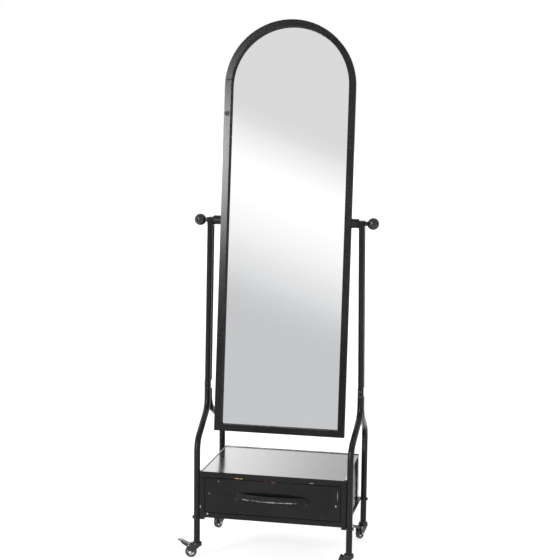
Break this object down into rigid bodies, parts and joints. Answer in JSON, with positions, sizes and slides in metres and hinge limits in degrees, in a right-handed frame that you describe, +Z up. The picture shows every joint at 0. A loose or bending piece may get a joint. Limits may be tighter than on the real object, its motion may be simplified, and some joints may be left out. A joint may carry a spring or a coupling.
{
  "type": "cheval floor mirror",
  "caption": "Tall arched cheval mirror tilting between twin-tube iron posts with ball knobs, on a wheeled base with a shallow drawer cabinet.",
  "frame": {"origin": "on the floor, in the middle of the four legs", "axes": "+Z up, the mirror's glass and the drawer face -Y, +X to the right of someone looking along +Y"},
  "size_m": [0.6336, 0.3838, 1.7822],
  "materials": {
    "black_iron": "black lacquer over iron tube, semi-gloss, worn to bare metal on a few edges",
    "cabinet_sheet": "black lacquered sheet with a brownish cast, glossy top, light scuffs",
    "handle_iron": "black, lower edge worn bright",
    "fastener_black": "blackened steel, semi-gloss",
    "bright_steel": "zinc-plated steel",
    "mirror_glass": "silvered glass",
    "back_board": "hardboard painted black",
    "washer_fibre": "black fibre washer",
    "black_plastic": "moulded plastic plug",
    "caster_housing": "black-coated pressed steel",
    "wheel_hub": "grey moulded plastic",
    "wheel_tyre": "dark rubber, satin",
    "pedal_steel": "plated pressed steel"
  },
  "bodies": {
    "stand": {"left_front_post_tube": "black_iron", "left_rear_post_tube": "black_iron", "right_front_post_tube": "black_iron", "right_rear_post_tube": "black_iron", "left_pivot_head": "black_iron", "right_pivot_head": "black_iron", "left_post_coupler": "black_iron", "right_post_coupler": "black_iron", "coupler_bolts": "fastener_black", "coupler_cap_nuts": "fastener_black", "left_front_leg": "black_iron", "left_rear_leg": "black_iron", "right_front_leg": "black_iron", "right_rear_leg": "black_iron", "cabinet_top": "cabinet_sheet", "cabinet_left_side": "cabinet_sheet", "cabinet_right_side": "cabinet_sheet", "cabinet_back_panel": "cabinet_sheet", "cabinet_bottom": "cabinet_sheet", "cabinet_front_frame": "cabinet_sheet", "left_side_rail": "black_iron", "right_side_rail": "black_iron", "leg_bolts": "fastener_black", "drawer_guides": "bright_steel", "caster_sockets": "black_plastic", "friction_washers": "washer_fibre"},
    "mirror": {"mirror_frame": "black_iron", "mirror_glass": "mirror_glass", "mirror_back_board": "back_board", "back_board_screws": "bright_steel", "left_pivot_boss": "black_iron", "right_pivot_boss": "black_iron"},
    "left_knob": {"left_knob": "black_iron", "left_knob_stud": "bright_steel"},
    "right_knob": {"right_knob": "black_iron", "right_knob_stud": "bright_steel"},
    "drawer": {"drawer_front": "cabinet_sheet", "drawer_tray": "cabinet_sheet", "drawer_handle": "handle_iron", "handle_rivets": "fastener_black", "drawer_runners": "bright_steel"},
    "front_left_swivel": {"front_left_fork": "caster_housing", "front_left_pins": "bright_steel"},
    "front_left_wheel": {"front_left_hub": "wheel_hub", "front_left_tyre": "wheel_tyre"},
    "front_left_brake": {"front_left_brake_pedal": "pedal_steel"},
    "front_right_swivel": {"front_right_fork": "caster_housing", "front_right_axle": "bright_steel"},
    "front_right_wheel": {"front_right_hub": "wheel_hub", "front_right_tyre": "wheel_tyre"},
    "rear_left_swivel": {"rear_left_fork": "caster_housing", "rear_left_axle": "bright_steel"},
    "rear_left_wheel": {"rear_left_hub": "wheel_hub", "rear_left_tyre": "wheel_tyre"},
    "rear_right_swivel": {"rear_right_fork": "caster_housing", "rear_right_pins": "bright_steel"},
    "rear_right_wheel": {"rear_right_hub": "wheel_hub", "rear_right_tyre": "wheel_tyre"},
    "rear_right_brake": {"rear_right_brake_pedal": "pedal_steel"}
  },
  "joints": [
    {"name": "mirror_tilt", "type": "hinge", "parent": "stand", "child": "mirror", "pos_m": [0, 0, 1.117], "axis": [1, 0, 0], "continuous": true},
    {"name": "left_knob_turn", "type": "hinge", "parent": "stand", "child": "left_knob", "pos_m": [-0.29, 0, 1.117], "axis": [-1, 0, 0], "continuous": true},
    {"name": "right_knob_turn", "type": "hinge", "parent": "stand", "child": "right_knob", "pos_m": [0.29, 0, 1.117], "axis": [1, 0, 0], "continuous": true},
    {"name": "drawer_slide", "type": "slide", "parent": "stand", "child": "drawer", "axis": [0, -1, 0], "range_m": [0, 0.22]},
    {"name": "front_left_swivel_turn", "type": "hinge", "parent": "stand", "child": "front_left_swivel", "pos_m": [-0.256, -0.168, 0.05], "axis": [0, 0, 1], "continuous": true},
    {"name": "front_left_wheel_roll", "type": "hinge", "parent": "front_left_swivel", "child": "front_left_wheel", "pos_m": [-0.276, -0.168, 0.019], "axis": [0, -1, 0], "continuous": true},
    {"name": "front_left_brake_press", "type": "hinge", "parent": "front_left_swivel", "child": "front_left_brake", "pos_m": [-0.282, -0.168, 0.042], "axis": [0, -1, 0], "range_deg": [0, 15]},
    {"name": "front_right_swivel_turn", "type": "hinge", "parent": "stand", "child": "front_right_swivel", "pos_m": [0.256, -0.168, 0.05], "axis": [0, 0, 1], "continuous": true},
    {"name": "front_right_wheel_roll", "type": "hinge", "parent": "front_right_swivel", "child": "front_right_wheel", "pos_m": [0.236, -0.168, 0.019], "axis": [0, -1, 0], "continuous": true},
    {"name": "rear_left_swivel_turn", "type": "hinge", "parent": "stand", "child": "rear_left_swivel", "pos_m": [-0.256, 0.168, 0.05], "axis": [0, 0, 1], "continuous": true},
    {"name": "rear_left_wheel_roll", "type": "hinge", "parent": "rear_left_swivel", "child": "rear_left_wheel", "pos_m": [-0.26414, 0.14973, 0.019], "axis": [0.9135, -0.4067, 0], "continuous": true},
    {"name": "rear_right_swivel_turn", "type": "hinge", "parent": "stand", "child": "rear_right_swivel", "pos_m": [0.256, 0.168, 0.05], "axis": [0, 0, 1], "continuous": true},
    {"name": "rear_right_wheel_roll", "type": "hinge", "parent": "rear_right_swivel", "child": "rear_right_wheel", "pos_m": [0.24787, 0.14973, 0.019], "axis": [0.9135, -0.4067, 0], "continuous": true},
    {"name": "rear_right_brake_press", "type": "hinge", "parent": "rear_right_swivel", "child": "rear_right_brake", "pos_m": [0.24543, 0.14425, 0.042], "axis": [0.9135, -0.4067, 0], "range_deg": [0, 15]}
  ]
}
